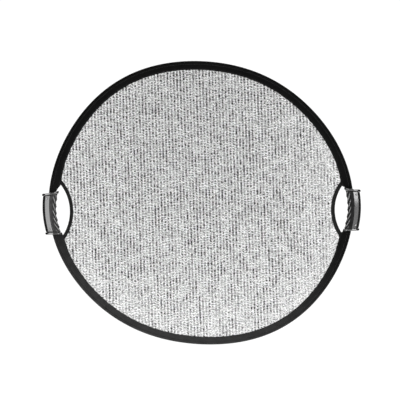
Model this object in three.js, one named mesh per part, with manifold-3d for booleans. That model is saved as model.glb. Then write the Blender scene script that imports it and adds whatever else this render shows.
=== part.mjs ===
// Collapsible reflector disc: a double-sided fabric disc stretched in a sprung steel hoop,
// with a moulded grip clamped round the hoop at each side. Millimetres, +Z up.
// The disc stands upright in the XZ plane and its silver side faces -Y.
import * as THREE from "three";
import { mergeVertices } from "three/addons/utils/BufferGeometryUtils.js";
import Module from "manifold-3d";

const wasm = await Module();
wasm.setup();

// ---- driving dimensions -------------------------------------------------------------------

// Outer edge of the rim: a mean radius with a few waves, because the sprung hoop is pulled
// slightly out of round by the fabric. Each wave is { count, height, phase in degrees }.
const RIM_CENTRE = { x: -1.1, z: -1.3 };
const RIM_RADIUS = 401.3;
const RIM_WAVES = [
  { count: 2, height: 14.9, phase: -12.4 },
  { count: 3, height: 1.5, phase: -35.8 },
  { count: 4, height: 1.6, phase: 23.2 },
  { count: 6, height: 1.5, phase: 3.3 },
];
const RIM_STEP = 5; // degrees between the corners of the rim's curves
const RIM_FINE_STEP = 1; // the same, beside the cut-outs
const RIM_FINE_REACH = 13; // degrees either side of a cut-out's middle
const NORMAL_REACH = 0.5; // degrees either side of a point, for the curve's direction there

// Folded fabric casing sewn round the hoop. It is widest at the sides, narrowest at the
// bottom, a little wider again at each cut-out's two corners, and narrow inside the grips.
const CASING_WIDTH = 24.3;
const CASING_SIDES_WIDER = 1.6;
const CASING_TOP_WIDER = 1.5;
const CASING_CORNER_WIDER = 3.0;
const CASING_CORNER_REACH = 6; // degrees
const CASING_WIDTH_IN_GRIP = 13.5;
const CASING_HALF_THICKNESS = 2.6;
const CASING_SLOT_HALF = 1.6; // the two faces are sewn into this slot
const CASING_SLOT_START = 10; // the slot starts this far inside the rim's outer edge
const CASING_SLOT_END = 32; // and is open at the casing's inner edge
const BEAD_WIDTH = 5.4; // the bead is the thick outer edge that holds the hoop
const BEAD_HALF_THICKNESS = 4.4;
const BEAD_POCKET = { outer: 1.0, inner: 4.2, half: 3.6 };

// Spring steel hoop and the sleeve that joins its two ends.
const BAND = { outer: 2.1, inner: 2.9, half: 2.7 };
const SLEEVE = { outer: 1.3, inner: 3.7, half: 3.4, wall: 0.4, halfAngle: 3.2 };
const SLEEVE_STEP = 0.8; // degrees between the corners of the sleeve's curves
const RIVET_RADIUS = 0.8;
const RIVET_ANGLE = 1.6; // degrees either side of the sleeve's middle

// Two layers of cloth.
const FACE_EDGE = 10.5; // the cloth stops this far inside the rim's outer edge
const SILVER_LAYER = { near: -1.3, far: -0.2 };
const BACK_LAYER = { near: 0.2, far: 1.3 };

// Lens-shaped hand cut-outs. Each one's inner edge is an arc, and its outer edge is the casing.
// topSlant and bottomSlant are the angles over which the casing widens to the cut-out's corners.
const CUTOUTS = {
  left: { x: -480.2, z: -24.1, radius: 121, angle: 182.8, halfAngle: 10.35, topSlant: 4.5, bottomSlant: 1.5 },
  right: { x: 478.5, z: -18.8, radius: 115.7, angle: -2.4, halfAngle: 9.7, topSlant: 1.5, bottomSlant: 1.5 },
};
const BINDING = { width: 8.5, half: 2.6, slotHalf: 1.6, lip: 2.0 };

// Moulded grips.
// middle is how far the middle of the grip's section lies outside the rim's outer edge.
const GRIPS = {
  left: { angle: 184.0, front: 1, middle: -2.9 },
  right: { angle: -2.5, front: -1, middle: 0.8 },
};
const GRIP_LENGTH = 112;
const GRIP_HALF_WIDTH = 17.6;
const GRIP_HALF_DEPTH = 13.5;
// Half of the grip's section: a narrow outer edge, a slanting face and the rubber's rounded side.
const GRIP_CORNERS = [
  [GRIP_HALF_WIDTH, 0],
  [16.9, 3.4],
  [12.6, 9.0],
  [0.8, GRIP_HALF_DEPTH],
  [-8.0, 13.1],
  [-12.4, 11.7],
  [-15.3, 9.5],
  [-17.0, 6.2],
  [-GRIP_HALF_WIDTH, 0],
];
const GRIP_SPLIT = 0.8; // the rubber meets the shells this far outside the section's middle
const GRIP_BOW = 1 / 500; // the grip bows inward by this times the square of the distance
const RUBBER_THICKNESS = 4.0;
const CORE_REACH = 11; // the shells' core runs this far inward from the rim's outer edge
const FINGER_WAVE = { height: 1.0, pitch: 17 };
const COLLAR = { thickness: 5, halfWidth: 20.4, halfDepth: 15 };
const CHANNEL = { outer: 1.0, inner: 15.2, half: 5.4, reach: 10 };
// The channel deepens towards the grip's ends, by this depth at this angle from the middle.
const CHANNEL_FLARE = { depth: 5.0, at: 8.3, power: 4 };
const COLLAR_SLOT = { bead: 7.5, half: 3.2 }; // the collars are open towards the disc
const SCREW = { offset: 7.8, from: 42, radius: 1.5, headRadius: 2.9, headHeight: 1.8 };
const SCREW_HEAD_SEAT = 8.4; // depth of the head's underside from the grip's middle
const SCREW_TIP = 8.6;
const NUT = { radius: 3.0, bore: 1.8, near: 5.6, far: 8.2 };

// The disc bends about a vertical line, and this strip either side of it is what flexes.
const FOLD_HALF_WIDTH = 17;
const GAP = 0.3; // clearance between neighbouring pieces
const OVERLAP = 0.5; // two solids joined into one piece run this far into each other

const FAR = 600; // larger than the whole disc
const PAST_GRIP = 40; // larger than a grip's section
const GRIP_SPLIT_OVERLAP = 3; // how far a shell's core reaches under its outer wall
const SAME_POINT = 1e-4; // corners closer than this are one corner
const SIDES = { cutout: 90, screw: 16, rivet: 12, nut: 6 }; // flat sides round each circle
const BAR_STEPS = { scalloped: 18, plain: 8, collar: 2 }; // steps along a grip's length

// ---- materials ----------------------------------------------------------------------------

const material = (color, roughness, metalness) =>
  new THREE.MeshStandardMaterial({ color, roughness, metalness });
const silverCloth = material(0xb9bbbd, 0.38, 0.7);
const whiteCloth = material(0xeeeeea, 0.85, 0);
const blackCloth = material(0x1c1c1e, 0.9, 0);
const blackTape = material(0x161617, 0.85, 0);
const springSteel = material(0x8d9196, 0.35, 1);
const shellPlastic = material(0x232324, 0.15, 0);
const gripRubber = material(0x3a3a3b, 0.75, 0);
const collarRubber = material(0x2a2a2b, 0.6, 0);
const zincSteel = material(0xa5a8ab, 0.35, 1);

// ---- solids: three.js geometry, cut and joined --------------------------------------------

function toSolid(geometry) {
  const bare = geometry.clone();
  bare.deleteAttribute("normal");
  bare.deleteAttribute("uv");
  const merged = mergeVertices(bare, SAME_POINT);
  return new wasm.Manifold(
    new wasm.Mesh({
      numProp: 3,
      vertProperties: new Float32Array(merged.attributes.position.array),
      triVerts: new Uint32Array(merged.index.array),
    }),
  );
}

function toGeometry(solid) {
  const mesh = solid.getMesh();
  const geometry = new THREE.BufferGeometry();
  geometry.setAttribute("position", new THREE.BufferAttribute(mesh.vertProperties, 3));
  geometry.setIndex(new THREE.BufferAttribute(mesh.triVerts, 1));
  geometry.computeVertexNormals();
  return geometry;
}

// An outline drawn in X and Z, extruded from one Y to another.
function slab(outline, yNear, yFar) {
  const shape = new THREE.Shape(outline);
  const geometry = new THREE.ExtrudeGeometry(shape, {
    depth: yFar - yNear,
    bevelEnabled: false,
  });
  geometry.rotateX(Math.PI / 2);
  geometry.translate(0, yFar, 0);
  return toSolid(geometry);
}

function box(min, max) {
  const size = [0, 1, 2].map((k) => max[k] - min[k]);
  const geometry = new THREE.BoxGeometry(...size);
  geometry.translate(...[0, 1, 2].map((k) => (max[k] + min[k]) / 2));
  return toSolid(geometry);
}

// ---- the rim's curve ----------------------------------------------------------------------

const radians = THREE.MathUtils.degToRad;

function rimRadius(angle) {
  const wave = ({ count, height, phase }) => height * Math.cos(count * radians(angle - phase));
  return RIM_RADIUS + RIM_WAVES.map(wave).reduce((sum, value) => sum + value, 0);
}

function rimPoint(angle) {
  return new THREE.Vector2(
    RIM_CENTRE.x + rimRadius(angle) * Math.cos(radians(angle)),
    RIM_CENTRE.z + rimRadius(angle) * Math.sin(radians(angle)),
  );
}

function rimNormal(angle) {
  const along = rimPoint(angle + NORMAL_REACH).sub(rimPoint(angle - NORMAL_REACH)).normalize();
  return new THREE.Vector2(along.y, -along.x);
}

// A point this far inside the rim's outer edge.
function insetPoint(angle, inset) {
  return rimPoint(angle).addScaledVector(rimNormal(angle), -inset);
}

// How far an angle is from the middle of a cut-out, from -180 to 180 degrees, positive anticlockwise.
function awayFrom(cutout, angle) {
  return THREE.MathUtils.euclideanModulo(angle - cutout.angle + 180, 360) - 180;
}

const nearCutout = (angle) =>
  Object.values(CUTOUTS).some((cutout) => Math.abs(awayFrom(cutout, angle)) < RIM_FINE_REACH);

function rimAngles() {
  const angles = [];
  for (let angle = 0; angle < 360; angle += nearCutout(angle) ? RIM_FINE_STEP : RIM_STEP) {
    angles.push(angle);
  }
  return angles;
}

const allRound = rimAngles();

function stretch(from, to, step) {
  const count = Math.round((to - from) / step);
  return Array.from({ length: count + 1 }, (_, k) => from + ((to - from) * k) / count);
}

// The curve at an inset, which is a number or a function of the angle.
function rimCurve(inset, angles = allRound) {
  return angles.map((angle) => insetPoint(angle, typeof inset === "function" ? inset(angle) : inset));
}

// A ring all round the rim, between two insets.
function ring(outer, inner, half) {
  const outside = slab(rimCurve(outer), -half, half);
  return outside.subtract(slab(rimCurve(inner), -half - OVERLAP, half + OVERLAP));
}

// A stretch of such a ring.
function sector(outer, inner, half, angles) {
  return slab([...rimCurve(outer, angles), ...rimCurve(inner, angles).reverse()], -half, half);
}

function casingWidth(angle) {
  const turn = radians(angle);
  let width = CASING_WIDTH + CASING_SIDES_WIDER * Math.cos(2 * turn) + CASING_TOP_WIDER * Math.sin(turn);
  for (const [side, cutout] of Object.entries(CUTOUTS)) {
    const away = awayFrom(cutout, angle);
    const past = Math.abs(away) - cutout.halfAngle;
    width += CASING_CORNER_WIDER * Math.exp(-((past / CASING_CORNER_REACH) ** 2));
    if (past < 0) {
      const atTop = side === "left" ? away < 0 : away > 0;
      const slant = atTop ? cutout.topSlant : cutout.bottomSlant;
      width += (CASING_WIDTH_IN_GRIP - width) * Math.min(1, -past / slant);
    }
  }
  return width;
}

// ---- the disc -----------------------------------------------------------------------------

const disc = new THREE.Group();

function addMesh(group, name, solid, finish) {
  const mesh = new THREE.Mesh(toGeometry(solid), finish);
  mesh.name = name;
  group.add(mesh);
}

const edge = FOLD_HALF_WIDTH - GAP / 2;
const leftHalf = box([-FAR, -FAR, -FAR], [-edge - GAP, FAR, FAR]);
const rightHalf = box([edge + GAP, -FAR, -FAR], [FAR, FAR, FAR]);
const flexTop = box([-edge, -FAR, 0], [edge, FAR, FAR]);
const flexBottom = box([-edge, -FAR, -FAR], [edge, FAR, 0]);

// A hoop-shaped piece is cut into its two halves and the short flexing stretches between them.
function addHoop(name, solid, finish) {
  addMesh(disc, `${name}_left`, solid.intersect(leftHalf), finish);
  addMesh(disc, `${name}_right`, solid.intersect(rightHalf), finish);
  addMesh(disc, `${name}_flex_top`, solid.intersect(flexTop), finish);
  addMesh(disc, `${name}_flex_bottom`, solid.intersect(flexBottom), finish);
}

function addCloth(name, solid, finish) {
  addMesh(disc, `${name}_left`, solid.intersect(leftHalf), finish);
  addMesh(disc, `${name}_right`, solid.intersect(rightHalf), finish);
  addMesh(disc, `${name}_flex`, solid.intersect(flexTop.add(flexBottom)), finish);
}

function cutoutDisc(cutout, radius, half) {
  const geometry = new THREE.CylinderGeometry(radius, radius, 2 * half, SIDES.cutout);
  geometry.translate(cutout.x, 0, cutout.z);
  return toSolid(geometry);
}

function casing() {
  return ring(0, casingWidth, CASING_HALF_THICKNESS)
    .add(ring(0, BEAD_WIDTH, BEAD_HALF_THICKNESS))
    .subtract(ring(CASING_SLOT_START, CASING_SLOT_END, CASING_SLOT_HALF))
    .subtract(ring(BEAD_POCKET.outer, BEAD_POCKET.inner, BEAD_POCKET.half));
}

function cloth(layer) {
  let solid = slab(rimCurve(FACE_EDGE), layer.near, layer.far);
  for (const cutout of Object.values(CUTOUTS)) {
    solid = solid.subtract(cutoutDisc(cutout, cutout.radius + BINDING.lip + GAP, BEAD_HALF_THICKNESS));
  }
  return solid;
}

function binding(cutout) {
  const inside = slab(rimCurve((angle) => casingWidth(angle) + GAP), -BINDING.half, BINDING.half);
  const outerRadius = cutout.radius + BINDING.width;
  return cutoutDisc(cutout, outerRadius, BINDING.half)
    .subtract(cutoutDisc(cutout, cutout.radius, BINDING.half + OVERLAP))
    .subtract(
      cutoutDisc(cutout, outerRadius + OVERLAP, BINDING.slotHalf)
        .subtract(cutoutDisc(cutout, cutout.radius + BINDING.lip, BINDING.slotHalf + OVERLAP)),
    )
    .intersect(inside);
}

function rivet(angle, radius, from, to) {
  const geometry = new THREE.CylinderGeometry(radius, radius, to - from, SIDES.rivet);
  geometry.rotateZ(Math.PI / 2);
  const normal = rimNormal(angle);
  geometry.rotateY(-Math.atan2(normal.y, normal.x));
  const middle = insetPoint(angle, (from + to) / 2);
  geometry.translate(middle.x, 0, middle.y);
  return toSolid(geometry);
}

addCloth("silver_face", cloth(SILVER_LAYER), silverCloth);
addCloth("back_face", cloth(BACK_LAYER), whiteCloth);
addHoop("rim_casing", casing(), blackCloth);

const rivetAngles = [-1, 1].map((side) => GRIPS.left.angle + side * RIVET_ANGLE);
const rivetHole = (angle) =>
  rivet(angle, RIVET_RADIUS + GAP, SLEEVE.outer - OVERLAP, SLEEVE.inner + OVERLAP);
let band = ring(BAND.outer, BAND.inner, BAND.half);
const sleeveArc = (reach) => stretch(GRIPS.left.angle - reach, GRIPS.left.angle + reach, SLEEVE_STEP);
const sleeveBar = (trim, reach) =>
  sector(SLEEVE.outer + trim, SLEEVE.inner - trim, SLEEVE.half - trim, sleeveArc(reach));
let sleeve = sleeveBar(0, SLEEVE.halfAngle).subtract(sleeveBar(SLEEVE.wall, 2 * SLEEVE.halfAngle));
rivetAngles.forEach((angle, k) => {
  band = band.subtract(rivetHole(angle));
  sleeve = sleeve.subtract(rivetHole(angle));
  addMesh(disc, `splice_rivet_${k + 1}`, rivet(angle, RIVET_RADIUS, SLEEVE.outer, SLEEVE.inner), zincSteel);
});
addHoop("spring_band", band, springSteel);
addMesh(disc, "splice_sleeve", sleeve, springSteel);

for (const [side, cutout] of Object.entries(CUTOUTS)) {
  addMesh(disc, `cutout_binding_${side}`, binding(cutout), blackTape);
}

// ---- the grips ----------------------------------------------------------------------------
// A grip is built in its own frame: x points away from the disc, z runs up along the rim.
// The left grip's frame is turned half round, so its front faces +y there.

const mirroredCorners = GRIP_CORNERS.slice(1, -1).map(([x, y]) => [x, -y]);
const gripOutline = [...GRIP_CORNERS, ...mirroredCorners.reverse()];

// A bar with the grip's section, bowed like the rim and scalloped for the fingers.
function gripBar(middle, zLow, zHigh, halfWidth, halfDepth, wave, steps) {
  const sides = gripOutline.length;
  const geometry = new THREE.CylinderGeometry(1, 1, 1, sides, steps);
  const place = geometry.attributes.position;
  for (let k = 0; k < place.count; k += 1) {
    const rim = Math.hypot(place.getX(k), place.getZ(k));
    const turn = Math.atan2(place.getX(k), place.getZ(k)) / (2 * Math.PI);
    const corner = gripOutline[(Math.round(turn * sides) + sides) % sides];
    const x = (corner[0] * halfWidth) / GRIP_HALF_WIDTH;
    const y = (corner[1] * halfDepth) / GRIP_HALF_DEPTH;
    const z = zLow + (zHigh - zLow) * (place.getY(k) + 0.5);
    const scallop = x < 0 ? (-x / halfWidth) * wave * Math.cos((2 * Math.PI * z) / FINGER_WAVE.pitch) : 0;
    place.setXYZ(k, rim * (x + scallop) + middle - GRIP_BOW * z * z, rim * y, z);
  }
  geometry.deleteAttribute("normal");
  geometry.deleteAttribute("uv");
  const solid = toSolid(geometry);
  return solid.volume() > 0 ? solid : toSolid(flipped(geometry));
}

function flipped(geometry) {
  const index = geometry.index.array;
  for (let k = 0; k < index.length; k += 3) {
    [index[k], index[k + 1]] = [index[k + 1], index[k]];
  }
  return geometry;
}

function yCylinder(x, z, radius, yFrom, yTo, sides = SIDES.screw) {
  const geometry = new THREE.CylinderGeometry(radius, radius, Math.abs(yTo - yFrom), sides);
  geometry.translate(x, (yFrom + yTo) / 2, z);
  return toSolid(geometry);
}

function addGrip(side) {
  const { angle, front, middle } = GRIPS[side];
  const group = new THREE.Group();
  const seat = rimPoint(angle);
  const normal = rimNormal(angle);
  group.position.set(seat.x, 0, seat.y);
  const turn = side === "left" ? Math.PI : 0;
  const tilt = side === "left" ? Math.atan2(normal.y, -normal.x) : Math.atan2(normal.y, normal.x);
  group.rotation.set(0, side === "left" ? tilt : -tilt, turn, "YZX");
  group.updateMatrix();
  const intoGrip = group.matrix.clone().invert();
  const here = (solid) => toSolid(toGeometry(solid).applyMatrix4(intoGrip));

  // Cutters that follow the rim through the grip: the channel that it lies in, and the parts of
  // the section on either side of the line where the rubber meets the shells.
  const angles = stretch(angle - CHANNEL.reach, angle + CHANNEL.reach, RIM_FINE_STEP);
  const along = (outer, inner, half) => here(sector(outer, inner, half, angles));
  const flare = (at) => CHANNEL_FLARE.depth * ((at - angle) / CHANNEL_FLARE.at) ** CHANNEL_FLARE.power;
  const channel = along(-CHANNEL.outer, (at) => CHANNEL.inner + flare(at), CHANNEL.half);
  const collarChannel = along(-CHANNEL.outer, COLLAR_SLOT.bead, CHANNEL.half)
    .add(along(-CHANNEL.outer, PAST_GRIP, COLLAR_SLOT.half));
  const split = -(middle + GRIP_SPLIT);
  const rubberSide = along(split + GAP / 2, PAST_GRIP, PAST_GRIP);
  const shellSide = along(-PAST_GRIP, split - GAP / 2, PAST_GRIP);
  const coreSide = along(split - GRIP_SPLIT_OVERLAP, CORE_REACH, PAST_GRIP);

  const end = GRIP_LENGTH / 2 - COLLAR.thickness;
  const low = -end + GAP;
  const high = end - GAP;
  const bar = (inset, wave, steps) =>
    gripBar(middle, low, high, GRIP_HALF_WIDTH - inset, GRIP_HALF_DEPTH - inset, wave, steps);
  const whole = bar(0, FINGER_WAVE.height, BAR_STEPS.scalloped);
  const hollow = bar(RUBBER_THICKNESS, 0, BAR_STEPS.plain);
  const core = bar(RUBBER_THICKNESS + GAP, 0, BAR_STEPS.plain).intersect(coreSide);
  const body = whole.intersect(shellSide).add(core).subtract(channel);
  const above = box([-FAR, GAP / 2, -FAR], [FAR, FAR, FAR]);
  const below = box([-FAR, -FAR, -FAR], [FAR, -GAP / 2, FAR]);
  let frontShell = body.intersect(front > 0 ? above : below);
  let backShell = body.intersect(front > 0 ? below : above);

  [1, -1].forEach((up, k) => {
    const x = middle + SCREW.offset;
    const z = up * SCREW.from;
    const hole = SCREW.radius + GAP;
    const headHole = SCREW.headRadius + GAP;
    frontShell = frontShell
      .subtract(yCylinder(x, z, hole, front * FAR, -front))
      .subtract(yCylinder(x, z, headHole, front * FAR, front * (SCREW_HEAD_SEAT - GAP)));
    backShell = backShell
      .subtract(yCylinder(x, z, hole, front, -front * FAR))
      .subtract(yCylinder(x, z, NUT.radius + GAP, -front * (NUT.near - GAP), -front * FAR, SIDES.nut));
    const headTop = front * (SCREW_HEAD_SEAT + SCREW.headHeight);
    const screw = yCylinder(x, z, SCREW.radius, front * (SCREW_HEAD_SEAT + OVERLAP), -front * SCREW_TIP)
      .add(yCylinder(x, z, SCREW.headRadius, front * SCREW_HEAD_SEAT, headTop));
    const nut = yCylinder(x, z, NUT.radius, -front * NUT.near, -front * NUT.far, SIDES.nut)
      .subtract(yCylinder(x, z, NUT.bore, front, -front * FAR));
    addMesh(group, `${side}_handle_screw_${k + 1}`, screw, zincSteel);
    addMesh(group, `${side}_handle_nut_${k + 1}`, nut, zincSteel);
  });

  const collar = (from, to) =>
    gripBar(middle, from, to, COLLAR.halfWidth, COLLAR.halfDepth, 0, BAR_STEPS.collar)
      .subtract(collarChannel);
  addMesh(group, `${side}_handle_front_shell`, frontShell, shellPlastic);
  addMesh(group, `${side}_handle_back_shell`, backShell, shellPlastic);
  const rubber = whole.intersect(rubberSide).subtract(hollow).subtract(channel);
  addMesh(group, `${side}_handle_grip`, rubber, gripRubber);
  addMesh(group, `${side}_handle_top_collar`, collar(end, GRIP_LENGTH / 2), collarRubber);
  addMesh(group, `${side}_handle_bottom_collar`, collar(-GRIP_LENGTH / 2, -end), collarRubber);
  disc.add(group);
}

addGrip("left");
addGrip("right");

export default disc;
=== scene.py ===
"""Collapsible reflector disc: silver and white cloth stretched in a sprung steel hoop, with a
black sewn casing round the rim, a hand cut-out at each side and a moulded grip beside it.
Everything is in metres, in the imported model's frame: X right, Z up, the silver side faces -Y."""
import math
import random

import bmesh
import bpy
import numpy as np
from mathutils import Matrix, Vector


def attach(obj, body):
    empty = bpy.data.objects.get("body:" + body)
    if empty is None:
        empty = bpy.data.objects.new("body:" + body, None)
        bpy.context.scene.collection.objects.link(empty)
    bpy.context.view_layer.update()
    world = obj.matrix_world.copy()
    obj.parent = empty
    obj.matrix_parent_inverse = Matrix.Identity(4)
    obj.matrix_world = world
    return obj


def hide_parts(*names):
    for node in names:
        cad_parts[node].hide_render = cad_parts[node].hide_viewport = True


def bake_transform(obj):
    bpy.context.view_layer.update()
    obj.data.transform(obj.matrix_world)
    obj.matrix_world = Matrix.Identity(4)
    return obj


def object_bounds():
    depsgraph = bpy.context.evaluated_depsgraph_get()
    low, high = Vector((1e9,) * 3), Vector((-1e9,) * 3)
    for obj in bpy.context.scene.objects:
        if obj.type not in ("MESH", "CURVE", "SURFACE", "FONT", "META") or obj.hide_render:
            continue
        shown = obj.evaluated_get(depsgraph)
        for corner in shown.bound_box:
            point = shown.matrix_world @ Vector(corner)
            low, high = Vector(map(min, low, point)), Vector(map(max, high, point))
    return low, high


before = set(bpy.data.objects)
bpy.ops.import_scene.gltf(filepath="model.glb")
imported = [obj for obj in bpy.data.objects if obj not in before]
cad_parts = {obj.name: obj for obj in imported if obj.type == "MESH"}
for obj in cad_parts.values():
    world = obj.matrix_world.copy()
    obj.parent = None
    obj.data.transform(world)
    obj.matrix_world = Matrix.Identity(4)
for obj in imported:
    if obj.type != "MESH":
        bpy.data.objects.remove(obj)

cad_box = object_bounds()
MM = 0.001

# ---- driving dimensions: the CAD model's, except the two widths that say so ----

RIM_CENTRE = (-1.1 * MM, -1.3 * MM)
RIM_RADIUS = 401.3 * MM
RIM_WAVES = ((2, 14.9 * MM, -12.4), (3, 1.5 * MM, -35.8), (4, 1.6 * MM, 23.2), (6, 1.5 * MM, 3.3))

CASING_WIDTH = 24.3 * MM
CASING_SIDES_WIDER = 1.6 * MM
CASING_TOP_WIDER = 1.5 * MM
CASING_CORNER_WIDER = 3.0 * MM
CASING_CORNER_REACH = 6.0  # degrees
CASING_WIDTH_IN_GRIP = 13.5 * MM

# x and z are the middle of the arc that is the cut-out's inner edge. The rest is in degrees: the
# cut-out's middle and half its length round the rim, and the stretch over which the casing widens
# to its top and its bottom corner.
CUTOUTS = {
    "left": dict(
        x=-480.2 * MM, z=-24.1 * MM, radius=121 * MM, angle=182.8, half=10.35, top=4.5, bottom=1.5
    ),
    "right": dict(
        x=478.5 * MM, z=-18.8 * MM, radius=115.7 * MM, angle=-2.4, half=9.7, top=1.5, bottom=1.5
    ),
}
BINDING_WIDTH = {"left": 9.3 * MM, "right": 10.2 * MM}  # wider than in the CAD model

# middle is how far the middle of the grip's section lies outside the rim. wider stretches the
# section away from the disc and towards it, and is the CAD model's where it is 1.
GRIPS = {
    "left": dict(angle=184.0, middle=-2.9 * MM, wider=1.03),
    "right": dict(angle=-2.5, middle=0.8 * MM, wider=1.0),
}
GRIP_LENGTH = 112 * MM
COLLAR_THICKNESS = 5 * MM
GRIP_BOW_RADIUS = 250 * MM
GRIP_SPLAY = 1.0  # the grip is longer on the disc's side by this share for each metre
GAP = 0.3 * MM

NORMAL_REACH = 0.5  # degrees either side of a point of the rim, for its direction there


# ---- the rim's curve ----

def rim_radius(angle):
    """Distance from the rim's middle to its outer edge, for angles in degrees."""
    radius = RIM_RADIUS + 0 * np.asarray(angle, float)
    for count, height, phase in RIM_WAVES:
        radius = radius + height * np.cos(count * np.radians(angle - phase))
    return radius


def rim_point(angle):
    radius = rim_radius(angle)
    turn = np.radians(angle)
    return np.stack([RIM_CENTRE[0] + radius * np.cos(turn), RIM_CENTRE[1] + radius * np.sin(turn)], -1)


def rim_normal(angle):
    angle = np.asarray(angle)
    along = rim_point(angle + NORMAL_REACH) - rim_point(angle - NORMAL_REACH)
    along /= np.linalg.norm(along, axis=-1, keepdims=True)
    return np.stack([along[..., 1], -along[..., 0]], -1)


def inset_point(angle, inset):
    """A point this far inside the rim's outer edge, in X and Z."""
    return rim_point(angle) - rim_normal(angle) * np.asarray(inset, float)[..., None]


def about_rim(x, z):
    """A place's angle round the rim's middle, and how far inside the rim's outer edge it lies."""
    across, up = x - RIM_CENTRE[0], z - RIM_CENTRE[1]
    angle = np.degrees(np.arctan2(up, across)) % 360
    return angle, rim_radius(angle) - np.hypot(across, up)


def away_from(cutout, angle):
    """Degrees from a cut-out's middle, from -180 to 180."""
    return (np.asarray(angle) - cutout["angle"] + 180) % 360 - 180


def casing_width(angle):
    """The casing is widest at the sides and at the cut-outs' corners, and narrow in the grips."""
    turn = np.radians(angle)
    width = CASING_WIDTH + CASING_SIDES_WIDER * np.cos(2 * turn) + CASING_TOP_WIDER * np.sin(turn)
    for side, cutout in CUTOUTS.items():
        away = away_from(cutout, angle)
        past = np.abs(away) - cutout["half"]
        width = width + CASING_CORNER_WIDER * np.exp(-((past / CASING_CORNER_REACH) ** 2))
        at_top = away < 0 if side == "left" else away > 0
        slant = np.where(at_top, cutout["top"], cutout["bottom"])
        narrow = np.clip(-past / slant, 0, 1)
        width = width + (CASING_WIDTH_IN_GRIP - width) * narrow
    return width


def ripple(angle, seed, counts):
    """A steady, irregular wave round the rim, from -1 to 1."""
    source = random.Random(seed)
    total = 0 * np.asarray(angle, float)
    for count in counts:
        height = math.cos(source.uniform(0, 6))
        total = total + height * np.cos(np.radians(angle) * count + source.uniform(0, 6))
    return total / math.sqrt(len(counts))


# ---- mesh helpers ----

def mirrored(points):
    """A section's points on its other side, from the last to the first."""
    return [(x, -y) for x, y in points[::-1]]


def add_mesh(name, places, faces, finish, smooth=True):
    mesh = bpy.data.meshes.new(name)
    mesh.from_pydata([tuple(p) for p in places], [], faces)
    mesh.validate()
    clean = bmesh.new()
    clean.from_mesh(mesh)
    bmesh.ops.recalc_face_normals(clean, faces=clean.faces)
    clean.to_mesh(mesh)
    clean.free()
    for polygon in mesh.polygons:
        polygon.use_smooth = smooth
    mesh.materials.append(finish)
    piece = bpy.data.objects.new(name, mesh)
    bpy.context.scene.collection.objects.link(piece)
    return piece


def tube_faces(rings, sides, closed_path):
    """Quads between rings of points; an open path is closed by a cap at each end."""
    faces = []
    for k in range(rings if closed_path else rings - 1):
        here, there = k * sides, (k + 1) % rings * sides
        for j in range(sides):
            faces.append((here + j, here + (j + 1) % sides, there + (j + 1) % sides, there + j))
    if not closed_path:
        faces.append(tuple(range(sides)))
        faces.append(tuple(range((rings - 1) * sides, rings * sides))[::-1])
    return faces


def add_tube(name, rings, finish, closed_path=False):
    """A solid through rings of points, an array of (ring, point, xyz)."""
    rings = np.asarray(rings, float)
    count, sides, _ = rings.shape
    return add_mesh(name, rings.reshape(-1, 3), tube_faces(count, sides, closed_path), finish)


def rounded(outline, radius, steps=3):
    """A closed outline with each corner replaced by a small curve, and a point just beside each
    curve that keeps the flats between them shaded flat."""
    beside = 1.2
    outline = [Vector(p) for p in outline]
    result = []
    for k, corner in enumerate(outline):
        before = outline[k - 1] - corner
        after = outline[(k + 1) % len(outline)] - corner
        reach = min(radius, before.length * 0.4, after.length * 0.4)
        first = corner + before.normalized() * reach
        last = corner + after.normalized() * reach
        result.append(corner + before.normalized() * reach * beside)
        for step in range(steps + 1):
            t = step / steps
            result.append(first * (1 - t) ** 2 + corner * 2 * t * (1 - t) + last * t * t)
        result.append(corner + after.normalized() * reach * beside)
    return result


def cut_away(piece, cutter):
    """Subtracts the cutter's solid from the piece's, and removes the cutter."""
    modifier = piece.modifiers.new("cut", "BOOLEAN")
    modifier.operation = "DIFFERENCE"
    modifier.solver = "EXACT"
    modifier.object = cutter
    bpy.context.view_layer.update()
    result = bpy.data.meshes.new_from_object(piece.evaluated_get(bpy.context.evaluated_depsgraph_get()))
    piece.modifiers.clear()
    piece.data = result
    bpy.data.objects.remove(cutter)


def soften(piece, angle=35):
    """Smooth shading, with edges sharper than the angle kept crisp."""
    for polygon in piece.data.polygons:
        polygon.use_smooth = True
    shape = bmesh.new()
    shape.from_mesh(piece.data)
    for edge in shape.edges:
        edge.smooth = len(edge.link_faces) != 2 or edge.calc_face_angle(0) < math.radians(angle)
    shape.to_mesh(piece.data)
    shape.free()


def bend(piece):
    """Bakes the piece's transform into its mesh."""
    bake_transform(piece)


# ---- materials ----

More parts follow.
